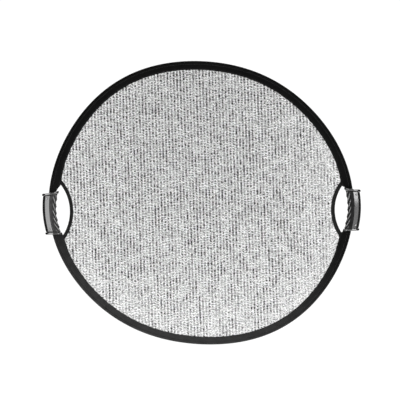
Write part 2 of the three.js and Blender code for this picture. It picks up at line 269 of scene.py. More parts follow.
class Nodes:
    """A material's node tree, or the world's, built by short calls."""

    def __init__(self, name, kind="materials"):
        self.owner = getattr(bpy.data, kind).new(name)
        self.owner.use_nodes = True
        self.tree = self.owner.node_tree

    def add(self, kind, **settings):
        node = self.tree.nodes.new(kind)
        for key, value in settings.items():
            setattr(node, key, value)
        return node

    def plug(self, value, socket):
        if hasattr(value, "is_output"):
            self.tree.links.new(value, socket)
        else:
            socket.default_value = value

    def fed(self, kind, given, **settings):
        """A node of a kind, with values or outputs given to its inputs by name or number."""
        node = self.add(kind, **settings)
        for socket, value in given.items():
            self.plug(value, node.inputs[socket])
        return node.outputs

    def math(self, operation, *values, clamp=False):
        given = dict(enumerate(values))
        return self.fed("ShaderNodeMath", given, operation=operation, use_clamp=clamp)[0]

    def plus(self, first, *others):
        for other in others:
            first = self.math("ADD", first, other)
        return first

    def minus(self, first, second):
        return self.math("SUBTRACT", first, second)

    def times(self, first, second, clamp=False):
        return self.math("MULTIPLY", first, second, clamp=clamp)

    def place(self):
        """The piece's own coordinates at rest, kept on the mesh so that bending doesn't move them."""
        return self.add("ShaderNodeAttribute", attribute_name="rest_place").outputs["Vector"]

    def split(self, vector):
        return self.fed("ShaderNodeSeparateXYZ", {0: vector})

    def join(self, x, y, z):
        return self.fed("ShaderNodeCombineXYZ", {0: x, 1: y, 2: z})[0]

    def noise(self, vector, scale, detail=2.0, roughness=0.5):
        given = dict(Vector=vector, Scale=scale, Detail=detail, Roughness=roughness)
        return self.fed("ShaderNodeTexNoise", given)[0]

    def chance(self, vector):
        return self.fed("ShaderNodeTexWhiteNoise", {"Vector": vector}, noise_dimensions="3D")["Value"]

    def span(self, value, low, high, to_low=0.0, to_high=1.0, smooth=False):
        given = {"Value": value, "From Min": low, "From Max": high, "To Min": to_low, "To Max": to_high}
        kind = "SMOOTHSTEP" if smooth else "LINEAR"
        return self.fed("ShaderNodeMapRange", given, interpolation_type=kind)[0]

    def mix(self, share, first, second):
        return self.fed("ShaderNodeMix", {0: share, 6: first, 7: second}, data_type="RGBA")[2]

    def wear_and_painted_light(self):
        """The wear and painted light kept on the mesh, from -1, painted shade, to 1, rubbed, with a painted
        highlight on the grip's ribs.
        """
        return self.add("ShaderNodeAttribute", attribute_name="wear_and_painted_light").outputs["Fac"]

    def weave(self, place, pitch, slope):
        """Crossing threads, from -1 to 1. The slope carries them on through the cloth's depth."""
        x, y, z = self.split(place)
        deeper = self.times(y, slope)
        threads = []
        for across in (x, z):
            turn = self.times(self.plus(across, deeper), 2 * math.pi / pitch)
            threads.append(self.math("SINE", turn))
        return self.times(*threads)

    def bump(self, height, distance, strength):
        given = dict(Height=height, Distance=distance, Strength=strength)
        return self.fed("ShaderNodeBump", given)[0]

    def finish(self, color, roughness, normal=None, **uniform):
        """The material, with a value or an output for each of its shader's inputs."""
        given = {"Base Color": color, "Roughness": roughness}
        if normal is not None:
            given["Normal"] = normal
        for key, value in uniform.items():
            given[key.replace("_", " ")] = value
        shader = self.tree.nodes["Principled BSDF"]
        for socket, value in given.items():
            self.plug(value, shader.inputs[socket])
        return self.owner


def grey(value):
    return (value, value, value, 1)


def keep_rest_place(piece):
    """Stores each vertex's place at rest on the mesh, for the materials."""
    places = np.empty(3 * len(piece.data.vertices), np.float32)
    piece.data.vertices.foreach_get("co", places)
    store = piece.data.attributes.new("rest_place", "FLOAT_VECTOR", "POINT")
    store.data.foreach_set("vector", places)


def keep_wear_and_painted_light(piece, wear_and_painted_light):
    """Stores each vertex's wear and painted light, from -1, painted shade, to 1, rubbed, with a painted
    highlight on the grip's ribs, for the materials.
    """
    store = piece.data.attributes.new("wear_and_painted_light", "FLOAT", "POINT")
    store.data.foreach_set("value", np.array(wear_and_painted_light, np.float32))


RIB_PITCH = 8.75 * MM
DASH_PITCH = 6.9 * MM
RIB_LEAN = 0.03  # the ribs lean by this much across for each unit down
RIB_WANDER = 2.0 * MM  # the ribs stray by half of this either way, in long curves
LOOSE_WANDER = 5.0 * MM  # the same near the rim, where the cloth is less taut
RIB_WOBBLE = 1.4 * MM  # the same in short curves
SILVER_THREAD = 1.3 * MM  # pitch of the fine threads under the ribs
WHITE_THREAD = 0.7 * MM
NYLON_THREAD = 0.6 * MM
THREAD_SLOPE = 0.7
TAPE_RIB = 1.1 * MM
THREAD_TWIST = 0.7 * MM


def silver_cloth():
    """Metallised cloth: upright ribs, dark along their hollows, each hollow a row of short dashes
    that run together in places, broken up by small light gaps and by paler upright bands."""
    n = Nodes("silver_cloth")
    place = n.place()
    x, _, z = n.split(place)
    from_middle = n.math("SQRT", n.plus(n.times(x, x), n.times(z, z)))
    loose = n.span(from_middle, 0.27, 0.37, 0.0, 1.0, smooth=True)
    wander = n.minus(n.noise(place, 20, 1), 0.5)
    wander = n.times(wander, n.span(loose, 0, 1, RIB_WANDER, LOOSE_WANDER))
    wobble = n.times(n.minus(n.noise(place, 130, 1), 0.5), RIB_WOBBLE)
    leaning = n.plus(n.times(z, RIB_LEAN), wander, wobble)
    across = n.math("DIVIDE", n.plus(x, leaning), RIB_PITCH)
    column = n.math("FLOOR", across)
    side = n.minus(n.math("FRACT", across), 0.5)
    start = n.chance(n.join(column, 0.5, 0.5))
    slant = n.minus(n.noise(place, 60, 1), 0.46)
    bent = n.times(n.times(side, slant), 4.0)
    up = n.plus(n.math("DIVIDE", z, DASH_PITCH), start, bent, n.times(n.noise(place, 70, 1), 1.6))
    row = n.math("FLOOR", up)
    from_dash = n.math("ABSOLUTE", n.minus(n.math("FRACT", up), 0.5))
    chance = n.chance(n.join(column, row, 2.5))
    rib = n.span(n.math("ABSOLUTE", side), 0.14, 0.36, 1, 0, smooth=True)
    along = n.join(n.times(column, 0.37), 0.0, n.times(z, 30))
    joined = n.noise(along, 1.0, 1)
    dash = n.span(from_dash, 0.2, 0.36, 1, n.span(joined, 0.34, 0.62, 0.0, 0.7), smooth=True)
    ridge = n.math("FLOOR", n.plus(across, 0.5))
    bead = n.plus(n.math("DIVIDE", z, DASH_PITCH), n.chance(n.join(ridge, 7.5, 0.5)))
    bead = n.plus(bead, n.times(n.noise(place, 90, 1), 1.8))
    bead = n.math("COSINE", n.times(bead, 2 * math.pi))
    bands = n.noise(n.join(x, 0.0, n.times(z, 0.22)), 22, 2)
    clouds = n.noise(place, 40, 2)
    fading = n.span(z, -0.36, 0.30, -0.07, 0.10)
    kept = n.plus(n.times(n.plus(bands, clouds), 0.5), fading)
    kept = n.minus(kept, n.times(loose, 0.05))
    kept = n.minus(kept, n.span(x, 0.15, 0.38, 0.0, 0.10))
    present = n.span(kept, 0.28, 0.50, 0.35, 1.0)
    gap = n.span(n.noise(n.join(x, 0.3, n.times(z, 1.6)), 75, 1), 0.60, 0.70, 1, 0.35)
    depth = n.times(n.times(rib, dash), n.span(chance, 0, 1, 0.45, 1.3))
    depth = n.times(depth, n.times(present, gap), clamp=True)
    weave = n.weave(place, SILVER_THREAD, 0)
    speck = n.noise(place, 420, 2, 0.6)
    # Painted light from below: the silver is painted lighter towards the bottom.
    painted_light_from_below = n.span(z, -0.36, 0.34, 0.055, 0.015)
    crest = n.times(rib, n.minus(1.0, dash))
    # Painted glints: the speck's flecks brighten the colour as the crinkled foil's glints; the speck also
    # bumps the cloth and sets its roughness.
    light = n.plus(n.span(speck, 0.38, 0.62, 0.38, 1.12, smooth=True), painted_light_from_below)
    light = n.plus(light, n.times(crest, 0.2), n.times(bead, 0.14), n.times(weave, 0.06))
    dark = n.span(weave, -1, 1, 0.004, 0.03)
    color = n.mix(depth, n.join(light, light, light), n.join(dark, dark, dark))
    height = n.plus(n.times(depth, -1.0), n.times(speck, 0.35), n.times(weave, 0.12))
    normal = n.bump(height, 0.5 * MM, 0.6)
    roughness = n.span(speck, 0.2, 0.8, 0.3, 0.5)
    return n.finish(color, roughness, normal, Metallic=0.7, Specular_IOR_Level=0.5)


def white_cloth():
    """Plain woven cloth: over and under threads, with a little soiling in its colour."""
    n = Nodes("white_cloth")
    place = n.place()
    cloudy = n.noise(place, 18, 3)
    fine = n.noise(place, 900, 1)
    soiling = n.plus(cloudy, n.times(fine, 0.3))
    color = n.mix(n.span(soiling, 0.45, 0.85), grey(0.78), grey(0.88))
    threads = n.weave(place, WHITE_THREAD, THREAD_SLOPE)
    normal = n.bump(n.plus(threads, n.times(fine, 0.8)), 0.08 * MM, 0.5)
    roughness = n.span(cloudy, 0.3, 0.7, 0.80, 0.90)
    return n.finish(color, roughness, normal, Sheen_Weight=0.2, Sheen_Roughness=0.4)


def casing_fabric():
    """Black woven nylon, painted greyer towards the bottom and a little to the left, as painted light from
    below.
    """
    n = Nodes("black_fabric")
    place = n.place()
    x, _, z = n.split(place)
    cloudy = n.noise(place, 60, 3)
    fine = n.noise(place, 500, 1)
    # Painted light from below: the colour turns from black to a mottled grey the lower the casing lies.
    low_down = n.plus(z, n.times(x, 0.25))
    painted_light = n.span(low_down, -0.42, 0.02, 1, 0, smooth=True)
    faded = n.plus(cloudy, n.times(fine, 0.4))
    clean = n.mix(n.span(faded, 0.5, 0.9), grey(0.001), grey(0.003))
    mottled = n.mix(n.span(cloudy, 0.35, 0.65), grey(0.025), grey(0.034))
    color = n.mix(painted_light, clean, mottled)
    threads = n.weave(place, NYLON_THREAD, THREAD_SLOPE)
    normal = n.bump(n.plus(threads, n.times(fine, 0.8)), 0.07 * MM, 0.5)
    return n.finish(color, 0.8, normal, Sheen_Weight=0.005, Specular_IOR_Level=0.09)


def ribbed_tape():
    """Diagonally ribbed binding tape, rubbed paler along its middle than where it rolls over."""
    n = Nodes("black_tape")
    place = n.place()
    x, y, z = n.split(place)
    diagonal = n.plus(x, z, n.times(y, 1.5))
    ribs = n.math("SINE", n.times(diagonal, 2 * math.pi / TAPE_RIB))
    cloudy = n.noise(place, 120, 2)
    rubbed_and_highlight = n.wear_and_painted_light()
    black = n.mix(n.span(cloudy, 0.35, 0.65), grey(0.002), grey(0.005))
    pale = n.mix(n.span(cloudy, 0.35, 0.65), grey(0.005), grey(0.010))
    color = n.mix(rubbed_and_highlight, black, pale)
    return n.finish(color, 0.8, n.bump(ribs, 0.12 * MM, 0.6), Sheen_Weight=0.02, Specular_IOR_Level=0.15)


def thread_finish():
    """Twisted black sewing thread."""
    n = Nodes("black_thread")
    x, y, z = n.split(n.place())
    along = n.plus(x, y, z)
    twist = n.math("SINE", n.times(along, 2 * math.pi / THREAD_TWIST))
    color = n.mix(n.span(twist, -1, 1), grey(0.008), grey(0.03))
    return n.finish(color, 0.5, n.bump(twist, 0.05 * MM, 0.5))


def shell_plastic():
    """Polished black plastic with faint orange peel and hairline handling marks."""
    n = Nodes("shell_plastic")
    place = n.place()
    x, y, z = n.split(place)
    peel = n.noise(place, 420, 2)
    streaks = n.noise(n.join(n.times(x, 14), n.times(y, 14), z), 90, 2)
    worn_and_painted_highlight = n.noise(place, 60, 3)
    color = n.mix(n.span(worn_and_painted_highlight, 0.4, 0.7), grey(0.010), grey(0.016))
    roughness = n.span(n.plus(streaks, worn_and_painted_highlight), 0.7, 1.3, 0.10, 0.2)
    return n.finish(color, roughness, n.bump(peel, 0.02 * MM, 0.4), IOR=1.72)


def grip_rubber():
    """Soft black rubber with a fine grain: worn and painted pale along its ribs' crests as a painted
    highlight, painted shade in the hollows between them, and the left grip painted lighter than the right
    as painted light.
    """
    n = Nodes("grip_rubber")
    place = n.place()
    x = n.split(place)[0]
    grain = n.noise(place, 1600, 2, 0.6)
    mottled = n.noise(place, 70, 3)
    wear_and_painted_light = n.wear_and_painted_light()
    worn_and_painted_highlight = n.times(n.span(wear_and_painted_light, 0, 1), n.span(n.noise(place, 240, 3), 0.35, 0.6, 0.5, 1.0))
    # Painted light: the left grip's rubber is painted lighter than the right's; the mottle within each is
    # the rubber's own tone.
    lower, upper = n.span(x, -0.1, 0.1, 0.015, 0.003), n.span(x, -0.1, 0.1, 0.035, 0.010)
    painted_light = n.span(mottled, 0.35, 0.7, lower, upper)
    color = n.join(painted_light, painted_light, painted_light)
    # Painted shade: the hollows between the ribs are painted near black.
    color = n.mix(n.span(wear_and_painted_light, -1, 0, 1, 0), color, grey(0.003))
    # Worn and painted highlight: the ribs' crests are painted pale grey.
    color = n.mix(worn_and_painted_highlight, color, grey(0.42))
    shine = n.span(x, -0.1, 0.1, 0.45, 0.2)
    roughness = n.span(worn_and_painted_highlight, 0, 1, 0.5, 0.3)
    normal = n.bump(grain, 0.05 * MM, 0.5)
    return n.finish(color, roughness, normal, IOR=1.5, Specular_IOR_Level=shine)


def collar_rubber():
    """Smooth dark rubber that shines along its edges, dull at its outer end, where it is painted black as
    painted shade.
    """
    n = Nodes("collar_rubber")
    place = n.place()
    grain = n.noise(place, 1100, 2)
    mottled = n.noise(place, 90, 2)
    wear_and_painted_light = n.wear_and_painted_light()
    color = n.mix(n.span(mottled, 0.35, 0.7), grey(0.02), grey(0.04))
    # Painted shade: the collar's outer end is painted black.
    color = n.mix(n.span(wear_and_painted_light, -1, 0), grey(0.002), color)
    shine = n.span(wear_and_painted_light, -1, 0, 0.02, 0.5)
    roughness = n.span(wear_and_painted_light, -1, 0, 0.9, n.span(mottled, 0.3, 0.7, 0.14, 0.24))
    normal = n.bump(grain, 0.02 * MM, 0.4)
    return n.finish(color, roughness, normal, IOR=1.9, Specular_IOR_Level=shine)


def metal(name, color, roughness, line_scale):
    """Drawn or plated steel: fine lines along one way and cloudy plating."""
    n = Nodes(name)
    place = n.add("ShaderNodeTexCoord").outputs["Object"]
    x, y, z = n.split(place)
    drawn = n.join(n.times(x, 0.2), n.times(y, 6), n.times(z, 0.2))
    lines = n.noise(drawn, line_scale, 2)
    cloudy = n.noise(place, 160, 2)
    tint = n.mix(n.span(cloudy, 0.3, 0.7), grey(color * 0.8), grey(color))
    dull = n.span(lines, 0.3, 0.7, roughness, roughness + 0.15)
    return n.finish(tint, dull, n.bump(lines, 0.01 * MM, 0.3), Metallic=1.0)


SILVER = silver_cloth()
WHITE = white_cloth()
BLACK = casing_fabric()
TAPE = ribbed_tape()
THREAD = thread_finish()
SHELL = shell_plastic()
GRIP = grip_rubber()
COLLAR = collar_rubber()
STEEL = metal("spring_steel", 0.5, 0.25, 500)
ZINC = metal("zinc_steel", 0.6, 0.4, 900)


# ---- cloth faces ----

CLOTH_EDGE = 10.8 * MM  # the cloth's edge lies this far inside the rim, sewn into the casing
BINDING_LIP = 2.3 * MM  # and this far from a cut-out's edge, sewn into its tape
ROW_MARGIN = 0.4 * MM
CLOTH_MIDDLE = 0.6 * MM  # each layer's middle lies this far either side of the disc's plane
CLOTH_THICKNESS = 0.5 * MM
RIB_RELIEF = 0.1 * MM
PUCKER_HEIGHT = 0.5 * MM
WAVE_HEIGHT = 0.35 * MM
WAVE_LENGTH = 61 * MM


def cloth_outline():
    """Functions giving the cloth's left and right edge at a height, and its lowest and highest."""
    angles = np.linspace(0, 360, 1441)[:-1]
    edge = inset_point(angles, np.full(len(angles), CLOTH_EDGE))
    top, bottom = np.argmax(edge[:, 1]), np.argmin(edge[:, 1])
    left = edge[top : bottom + 1]
    right = np.vstack([edge[bottom:], edge[: top + 1]])

    def ends(z):
        low = np.interp(z, left[::-1, 1], left[::-1, 0])
        high = np.interp(z, right[:, 1], right[:, 0])
        for side, cutout in CUTOUTS.items():
            radius = cutout["radius"] + BINDING_LIP
            inside = np.clip(radius**2 - (z - cutout["z"]) ** 2, 0, None)
            if side == "left":
                low = np.where(inside > 0, np.maximum(low, cutout["x"] + np.sqrt(inside)), low)
            else:
                high = np.where(inside > 0, np.minimum(high, cutout["x"] - np.sqrt(inside)), high)
        return low, high

    return ends, edge[bottom, 1] + ROW_MARGIN, edge[top, 1] - ROW_MARGIN


def pull(x, z):
    """How far the stretched cloth stands out of its plane: puckers at the casing, and long waves."""
    angle, from_rim = about_rim(x, z)
    fading = np.exp(-np.clip(from_rim - 0.024, 0, 1) / 0.02)
    pucker = ripple(angle, 11, (31, 47, 58, 73, 89)) * PUCKER_HEIGHT * fading
    turn = 2 * np.pi * (x + RIB_LEAN * z) / WAVE_LENGTH + 1.3 * np.sin(z * 13 + 1)
    waves = WAVE_HEIGHT * np.sin(turn) * np.sin(z * 9 + x * 5)
    held = np.clip((from_rim - 0.012) / 0.03, 0, 1)
    return (pucker + waves) * held


def add_cloth(name, finish, middle, columns, rows, ribs):
    """One layer of cloth, from edge to edge, as a thin closed solid."""
    ends, lowest, highest = cloth_outline()
    z = np.linspace(lowest, highest, rows)
    low, high = ends(z)
    share = np.linspace(0, 1, columns)
    x = low[:, None] + (high - low)[:, None] * share[None, :]
    z = np.repeat(z[:, None], columns, 1)
    relief = pull(x, z)
    if ribs:
        relief = relief + RIB_RELIEF * np.cos(2 * np.pi * (x + RIB_LEAN * z) / RIB_PITCH)
    sides = []
    for offset in (-CLOTH_THICKNESS / 2, CLOTH_THICKNESS / 2):
        sides.append(np.stack([x, middle + relief + offset, z], -1).reshape(-1, 3))
    count = rows * columns
    faces = []
    for r in range(rows - 1):
        for c in range(columns - 1):
            a = r * columns + c
            faces.append((a, a + 1, a + columns + 1, a + columns))
            faces.append((count + a, count + a + columns, count + a + columns + 1, count + a + 1))
    border = [r * columns for r in range(rows)] + [(rows - 1) * columns + c for c in range(1, columns)]
    border += [r * columns + columns - 1 for r in range(rows - 2, -1, -1)] + list(range(columns - 2, 0, -1))
    for a, b in zip(border, border[1:] + border[:1]):
        faces.append((a, b, b + count, a + count))
    piece = add_mesh(name, np.vstack(sides), faces, finish)
    keep_rest_place(piece)
    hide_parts(*[f"{name}_{part}" for part in ("left", "right", "flex")])
    bend(piece)


# ---- rim casing, hoop and stitching ----

CASING_SECTIONS = 960
HOOP_SECTIONS = 480
HOOP = dict(outer=2.1 * MM, inner=2.9 * MM, half=2.7 * MM)
BEAD_RADIUS = 4.2 * MM
BEAD_DEEPER = 1.04  # the bead is deeper than it is wide by this factor
FIRST_SEAM = 9.2 * MM  # from the outer edge
SECOND_SEAM = 3.4 * MM  # from the casing's inner edge
SEAM_HALF_WIDTH = 0.9 * MM
SEAM_HALF_THICKNESS = 1.85 * MM
SLOT_HALF = 1.3 * MM  # the two cloths lie in this slot


def over_seam(inset, before, after):
    """Points across a line of stitches, between the half thicknesses before and after it."""
    start, end = inset - SEAM_HALF_WIDTH, inset + SEAM_HALF_WIDTH
    return [(start, before), (inset, SEAM_HALF_THICKNESS), (end, after)]


def casing_side(angle):
    """One side of the casing's section at an angle: (inset, half thickness), from the outer edge
    over the bead to the inner edge, and back along the slot that holds the cloth."""
    width = casing_width(angle) + 0.5 * MM * ripple(angle, 5, (67, 90, 113, 149, 211))
    slack = ripple(angle, 8, (23, 41, 59, 97, 131))
    points = []
    for turn in np.linspace(0, 2.35, 8):
        half = BEAD_RADIUS * BEAD_DEEPER * math.sin(turn)
        points.append((BEAD_RADIUS * (1 - math.cos(turn)), half))
    points += over_seam(FIRST_SEAM, 2.25 * MM, 2.3 * MM)
    second = width - SECOND_SEAM
    if second > FIRST_SEAM + 4 * MM:
        middle = (FIRST_SEAM + second) / 2
        hump = 2.5 * MM + 0.28 * MM * slack
        points += [((FIRST_SEAM + middle) / 2, hump - 0.05 * MM), (middle, hump)]
        points += [((middle + second) / 2, hump)]
        points += over_seam(second, 2.3 * MM, 2.35 * MM)
    else:
        points += [(FIRST_SEAM + 1.1 * MM + 0.1 * MM * k, 2.3 * MM) for k in range(6)]
    points += [(width - 1.0 * MM, 2.35 * MM), (width - 0.2 * MM, 2.0 * MM), (width, 1.6 * MM)]
    points += [(width - 0.4 * MM, SLOT_HALF), (10.4 * MM, SLOT_HALF), (10.2 * MM, 0.6 * MM)]
    return points


def casing_section(angle):
    side = casing_side(angle)
    return [(inset, -y) for inset, y in side] + side[:0:-1]


def hoop_section(angle):
    """A flat band, the same all round."""
    outer, inner, half = HOOP["outer"], HOOP["inner"], HOOP["half"]
    corners = [(outer, -half), (inner, -half), (inner, half), (outer, half)]
    return [tuple(point) for point in rounded(corners, 0.25 * MM, 2)]


def sweep_rim(name, section_at, count, finish):
    """A piece that runs all round the rim, through sections of (inset, y) points."""
    rings = []
    for angle in np.arange(count) * 360 / count:
        insets, heights = np.array(section_at(float(angle)), float).T
        places = inset_point(np.full(len(insets), angle), insets)
        rings.append(np.stack([places[:, 0], heights, places[:, 1]], -1))
    piece = add_tube(name, rings, finish, closed_path=True)
    keep_rest_place(piece)
    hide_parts(*[f"{name}_{part}" for part in ("left", "right", "flex_top", "flex_bottom")])
    bend(piece)


STITCH_PITCH = 4.6 * MM
STITCH_LENGTH = 3.7 * MM
STITCH_OVERRUN = 0.6  # degrees that the rim's stitches run on past a cut-out's corners
THREAD_RADIUS = 0.34 * MM
RIM_STITCH_HEIGHT = 1.95 * MM
TAPE_STITCH_HEIGHT = 1.9 * MM


def stitch_mesh(name, stitches):
    """One object holding a row of stitches, each a thread between two points that dips at its ends.
    A stitch is (start, end, outward), and outward is the way that its middle bulges."""
    places, faces = [], []
    sides = 5
    profile = ((0.0, 0.35, -0.5), (0.12, 0.9, -0.05), (0.5, 1.0, 0.12))
    profile += ((0.88, 0.9, -0.05), (1.0, 0.35, -0.5))
    for start, end, outward in stitches:
        start, end, outward = Vector(start), Vector(end), Vector(outward)
        across = (end - start).cross(outward).normalized()
        base = len(places)
        for share, width, lift in profile:
            middle = start.lerp(end, share) + outward * (lift * THREAD_RADIUS * 2)
            for k in range(sides):
                turn = 2 * math.pi * k / sides
                around = across * math.cos(turn) + outward * math.sin(turn)
                places.append(middle + around * THREAD_RADIUS * width)
        for face in tube_faces(len(profile), sides, False):
            faces.append(tuple(base + k for k in face))
    piece = add_mesh(name, places, faces, THREAD)
    keep_rest_place(piece)
    return piece


def stitch(start, end, height, facing):
    """A stitch between two points given in X and Z, on the front, facing -1, or the back, 1."""
    y = facing * height
    return (start[0], y, start[1]), (end[0], y, end[1]), (0, facing, 0)


def rim_seam(inset_of, facing):
    """Stitches round the whole rim at an inset, on one side."""
    length = 2 * math.pi * RIM_RADIUS
    count = int(length / STITCH_PITCH)
    half = 360 * STITCH_LENGTH / length / 2
    stitches = []
    for k in range(count):
        angle = 360 * k / count
        away = [abs(away_from(cutout, angle)) - cutout["half"] for cutout in CUTOUTS.values()]
        if min(away) >= -STITCH_OVERRUN:
            turns = np.array([angle - half, angle + half])
            ends = inset_point(turns, [inset_of(turn) for turn in turns])
            stitches.append(stitch(*ends, RIM_STITCH_HEIGHT, facing))
    return stitches


def build_rim_stitches():
    rows = {
        "outer": lambda angle: FIRST_SEAM,
        "inner": lambda angle: float(casing_width(angle)) - SECOND_SEAM,
    }
    for row, inset_of in rows.items():
        piece = stitch_mesh(f"rim_stitches_{row}", rim_seam(inset_of, -1) + rim_seam(inset_of, 1))
        bend(piece)


# ---- cut-out bindings ----

TUCK = 4.0  # degrees that the tape runs on into the casing, at each end
TAPE_SECTIONS = 150
TAPE_WOBBLE = 0.25 * MM
TAPE_WIDTH = 9.0  # the section is drawn this wide in millimetres, and stretched to each width
TAPE_SEAM = 6.2
# One side of the tape's section: the distance from its free edge and half its thickness, both in
# millimetres, and how rubbed it is there. It ends along the slot that holds the cloth.
TAPE_SIDE = [
    *[(-0.2, 0.55, 0), (0.1, 1.5, 0), (0.8, 2.1, 0), (2.4, 2.2, 0.4), (3.2, 2.25, 1), (5.4, 2.25, 1)],
    *[(TAPE_SEAM, 1.8, 0.6), (7.0, 2.2, 0.4), (8.5, 2.05, 0), (TAPE_WIDTH, 1.6, 0)],
    *[(8.7, 1.3, 0), (2.4, 1.3, 0)],
]


def arc_point(cutout, radius, turn):
    """A point in X and Z on an arc about a cut-out's middle, at an angle in degrees."""
    turn = np.radians(turn)
    return cutout["x"] + radius * np.cos(turn), cutout["z"] + radius * np.sin(turn)


def binding_span(side):
    """The first and last angle of the cut-out's inner edge, where it has run into the casing."""
    cutout = CUTOUTS[side]
    facing = 0 if side == "left" else 180
    turns = np.linspace(-60, 60, 481)
    angle, depth = about_rim(*arc_point(cutout, cutout["radius"], facing + turns))
    free = turns[depth > casing_width(angle)]
    return facing + free[0] - TUCK, facing + free[-1] + TUCK


def build_tape(side):
    cutout, width = CUTOUTS[side], BINDING_WIDTH[side]
    wider = width / (TAPE_WIDTH * MM)
    half = [(t * wider * MM, y * MM) for t, y, _ in TAPE_SIDE]
    section = [(t, -y) for t, y in half] + half[::-1]
    rings = []
    for turn in np.linspace(*binding_span(side), TAPE_SECTIONS):
        wobble = TAPE_WOBBLE * float(ripple(turn * 9, 21 + (side == "left"), (3, 5, 8, 13)))
        ring = []
        for t, y in section:
            x, z = arc_point(cutout, cutout["radius"] + t + wobble * (t / width), turn)
            ring.append((x, y, z))
        rings.append(ring)
    wear_and_painted_light = [worn_and_painted_highlight for _, _, worn_and_painted_highlight in TAPE_SIDE]
    tape = add_tube(f"cutout_tape_{side}", rings, TAPE)
    keep_rest_place(tape)
    keep_wear_and_painted_light(tape, (wear_and_painted_light + wear_and_painted_light[::-1]) * len(rings))
    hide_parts(f"cutout_binding_{side}")
    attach(tape, f"{side}_half")


def build_tape_stitches(side):
    cutout = CUTOUTS[side]
    first, last = binding_span(side)
    radius = cutout["radius"] + TAPE_SEAM * BINDING_WIDTH[side] / TAPE_WIDTH
    step = math.degrees(STITCH_PITCH / radius)
    reach = math.degrees(STITCH_LENGTH / radius) / 2
    stitches = []
    turn = first + TUCK
    while turn < last - TUCK:
        ends = [arc_point(cutout, radius, end) for end in (turn - reach, turn + reach)]
        stitches += [stitch(*ends, TAPE_STITCH_HEIGHT, facing) for facing in (-1, 1)]
        turn += step
    row = stitch_mesh(f"cutout_stitches_{side}", stitches)
    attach(row, f"{side}_half")


# ---- grips ----
# A section is drawn in millimetres, with x out of the disc from the middle of the grip, and y
# through it.

SPLIT = -0.5  # where the rubber meets the shells
SPLIT_HALF_GAP = 0.15
FACET_END = (11.8, 9.6)  # the shell's slanting face ends here, and its black edge begins
EDGE_END = (18.3, 3.2)
OUTERMOST = 18.9
INNERMOST = -17.6
RIDGE = 13.5
BARREL_END = GRIP_LENGTH / 2 - COLLAR_THICKNESS - GAP
END_ROUNDING = dict(narrower=0.7 * MM, over=2.2 * MM)
SHELL_RINGS = 90
RUBBER_RINGS = 250
RUBBER_STEP = 0.5
RIB_LENGTH = 18 * MM  # from one rib to the next, along the grip
RIB_HEIGHT = 1.9
RIB_SUNK = 1.1  # the hollows between the ribs lie this much under the smooth rubber
CROSSING_HEIGHT = 0.3
RIBBED_FROM = -7.2  # the ribs run on the disc's side of this place across the section
RIB_FADE = 1.5
RIB_END_FADE = 5 * MM
RIB_SLANT = 0.18  # how many ribs further along the next millimetre across the section lies
WORN_AND_LIT_BAND = (-15.8, -8.8)  # the palm rubs the ribs between these places across the section, where their crests also carry a painted highlight
WAIST_SWELL = 2.6
WAIST_PINCH = 0.4
WAIST_FROM, WAIST_REACH = -6.0, 8.0


def join_grip(piece, side, node, crisp_angle):
    """What every piece of a grip ends with: its shading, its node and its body."""
    soften(piece, crisp_angle)
    keep_rest_place(piece)
    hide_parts(f"{side}_handle_{node}")
    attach(piece, f"{side}_grip")


class GripPlace:
    """Turns a grip's own coordinates, in metres, into the model's."""

    def __init__(self, side):
        grip = GRIPS[side]
        self.seat = rim_point(grip["angle"])
        self.out = rim_normal(grip["angle"])
        self.up = np.array([-self.out[1], self.out[0]]) * (1 if side == "right" else -1)
        self.middle = grip["middle"]
        self.wider = grip["wider"]

    def at(self, x, y, s):
        s = s * (1 - GRIP_SPLAY * x)
        reach = self.middle + x * self.wider - s * s / (2 * GRIP_BOW_RADIUS)
        flat = self.seat + self.out * reach + self.up * s
        return (flat[0], y, flat[1])


def shell_section(front):
    """The half of the section outside the rim, with the core that runs under the rubber."""
    start = SPLIT + SPLIT_HALF_GAP
    points = [(start, RIDGE - 0.05), FACET_END, EDGE_END, (OUTERMOST, 1.0), (OUTERMOST, 0.12)]
    points += [(5.6, 0.12), (5.6, 5.3), (-10.2, 5.3), (-10.6, 8.2), (start, 9.1)]
    sign = -1 if front else 1
    return [(x * MM, sign * y * MM) for x, y in points]


def rubber_outside():
    """The rubber's outer line from its front edge round the inner side to its back edge."""
    half = [(-17.2, 2.6), (-16.2, 5.0), (-14.6, 7.3), (-12.6, 9.3), (-10.4, 10.9), (-8.2, 12.2)]
    half += [(-6.0, 13.1), (-4.0, 13.4), (-2.8, 13.4), (-1.6, 12.9), (SPLIT - SPLIT_HALF_GAP, 12.3)]
    return [*mirrored(half), (INNERMOST, 0.0), *half]


def rubber_inside():
    """The rubber's inner line, from its back edge to its front edge."""
    half = [(SPLIT - SPLIT_HALF_GAP, 9.25), (-10.9, 8.45), (-12.4, 6.4), (-15.0, 3.2)]
    return half + mirrored(half)


def fine_line(points, step):
    """Points along a smooth line through the given ones, about a step apart."""
    points = np.array(points, float)
    length = np.concatenate([[0], np.cumsum(np.linalg.norm(np.diff(points, axis=0), axis=1))])
    count = int(length[-1] / step) + 1
    at = np.linspace(0, length[-1], count)
    line = np.stack([np.interp(at, length, points[:, k]) for k in (0, 1)], -1)
    for _ in range(2):
        line[1:-1] = (line[:-2] + 2 * line[1:-1] + line[2:]) / 4
    return line


def rib_wave(x, s):
    """How strongly the ribs show at a place, and a wave from 0 between them to 1 along their
    crests. The ribs of the front and the back meet in chevrons where the fingers close."""
    across = np.clip((RIBBED_FROM - x) / RIB_FADE, 0, 1)
    ends = np.clip((BARREL_END - abs(s)) / RIB_END_FADE, 0, 1)
    wave = 0.5 + 0.5 * np.cos(2 * np.pi * (s / RIB_LENGTH - (x - INNERMOST) * RIB_SLANT))
    return across * ends, wave


